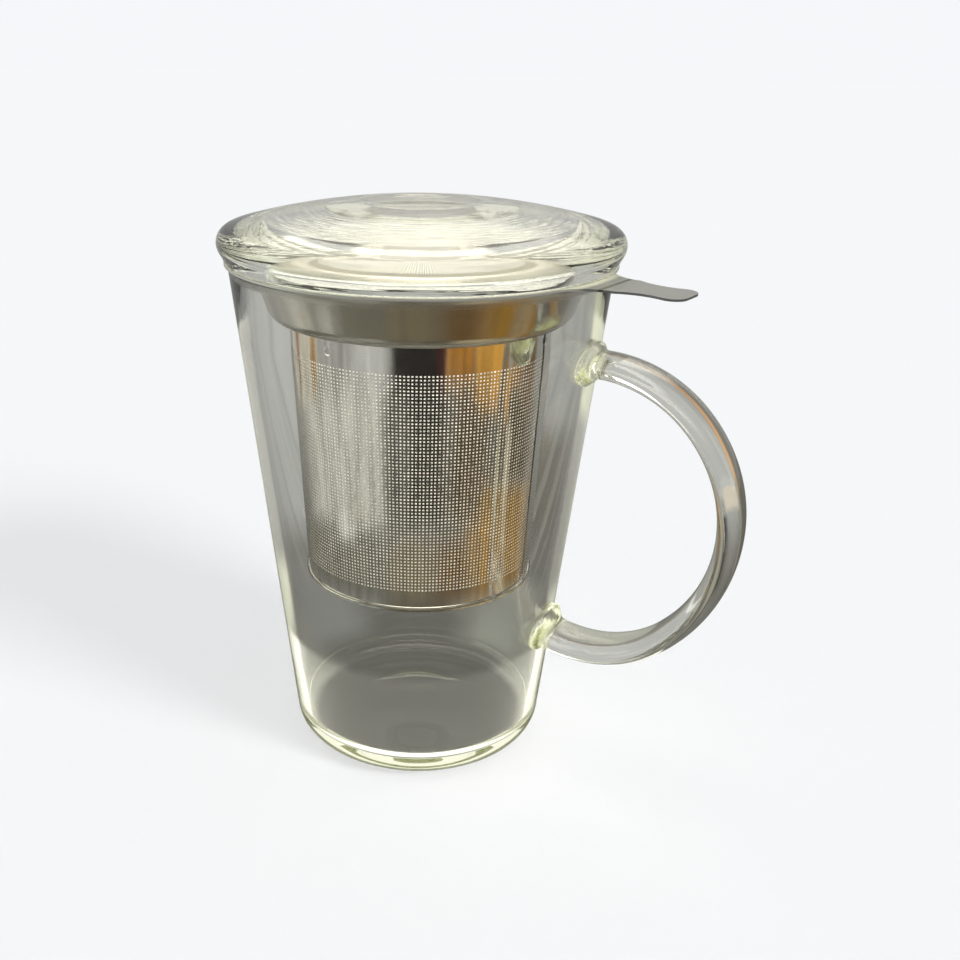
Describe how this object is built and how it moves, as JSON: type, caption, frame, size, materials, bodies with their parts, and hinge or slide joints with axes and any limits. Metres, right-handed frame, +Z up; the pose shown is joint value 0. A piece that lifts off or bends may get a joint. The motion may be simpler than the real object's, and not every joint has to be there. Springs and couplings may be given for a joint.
{
  "type": "lidded tea mug with infuser",
  "caption": "Clear glass tea mug with a fused glass handle, a lift-out perforated steel infuser basket with a lift tab, and a loose domed glass lid.",
  "frame": {"origin": "centre of the flat foot ring that stands on the table", "axes": "+Z up along the cup's axis, +X out through the handle"},
  "size_m": [0.1281, 0.0946, 0.1368],
  "materials": {
    "cup_glass": "clear",
    "handle_glass": "clear",
    "lid_glass": "clear",
    "collar_steel": "bright satin",
    "basket_steel": "etched satin"
  },
  "bodies": {
    "cup": {"cup_body": "cup_glass", "cup_handle": "handle_glass", "handle_pad_upper": "handle_glass", "handle_pad_lower": "handle_glass"},
    "infuser": {"infuser_collar": "collar_steel", "infuser_wall": "basket_steel", "infuser_base": "basket_steel"},
    "lid": {"lid": "lid_glass"}
  },
  "joints": [
    {"name": "infuser_lift", "type": "slide", "parent": "cup", "child": "infuser", "axis": [0, 0, 1], "range_m": [0, 0.085]},
    {"name": "lid_lift", "type": "slide", "parent": "infuser", "child": "lid", "axis": [0, 0, 1], "range_m": [0, 0.04]}
  ]
}
